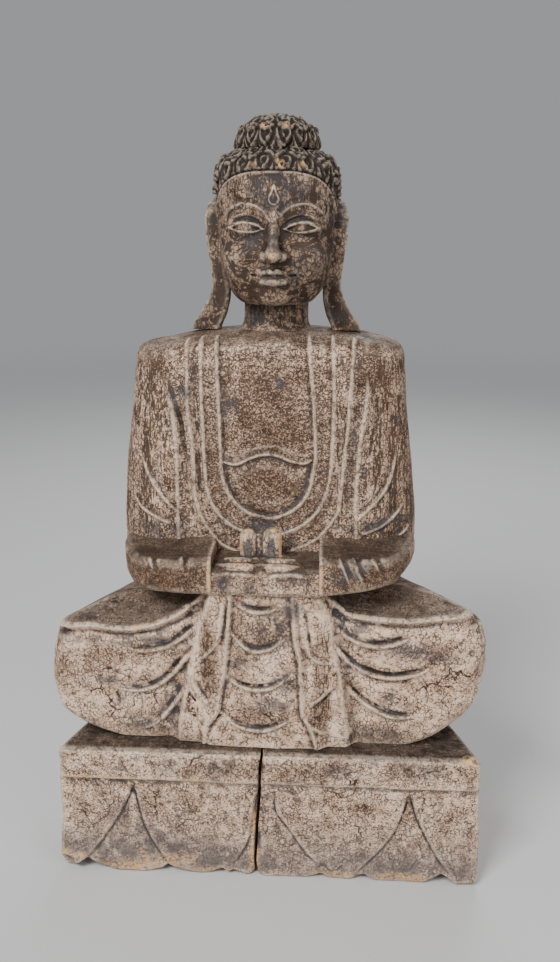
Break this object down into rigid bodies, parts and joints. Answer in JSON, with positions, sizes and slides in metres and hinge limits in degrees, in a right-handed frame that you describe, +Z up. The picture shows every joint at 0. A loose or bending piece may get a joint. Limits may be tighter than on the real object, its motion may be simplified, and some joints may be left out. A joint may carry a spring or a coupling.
{
  "type": "buddha statue",
  "caption": "Seated meditating figure with snail-curl hair and long ears, carved in blocks, on a separate halved lotus-petal base.",
  "frame": {"origin": "middle of the overall box, on the flat underside of the base", "axes": "+Z up, the figure faces -Y, +X to the right as seen from the front"},
  "size_m": [0.368, 0.2, 0.62],
  "materials": {
    "limewashed_wood": "carved wood under a cracked, rubbed whitewash, dry and matte",
    "bare_wood": "bare planed softwood, matte"
  },
  "bodies": {
    "root": {"petal_block_left": "limewashed_wood", "petal_block_right": "limewashed_wood", "top_board_left": "limewashed_wood", "top_board_right": "limewashed_wood", "lap_centre": "limewashed_wood", "knee_left": "limewashed_wood", "knee_right": "limewashed_wood", "torso": "limewashed_wood", "upper_arm_left": "limewashed_wood", "upper_arm_right": "limewashed_wood", "forearm_left": "limewashed_wood", "forearm_right": "limewashed_wood", "hand_left": "limewashed_wood", "hand_right": "limewashed_wood", "neck": "limewashed_wood", "head": "limewashed_wood", "ear_left": "limewashed_wood", "ear_right": "limewashed_wood", "hair_cap": "limewashed_wood", "ushnisha": "limewashed_wood", "urna": "limewashed_wood", "base_dowels": "bare_wood", "board_dowels": "bare_wood", "seat_dowels": "bare_wood", "knee_dowels": "bare_wood", "waist_dowels": "bare_wood", "shoulder_dowels": "bare_wood", "elbow_dowels": "bare_wood", "wrist_pegs": "bare_wood", "neck_dowel": "bare_wood", "crown_peg": "bare_wood"}
  },
  "joints": []
}
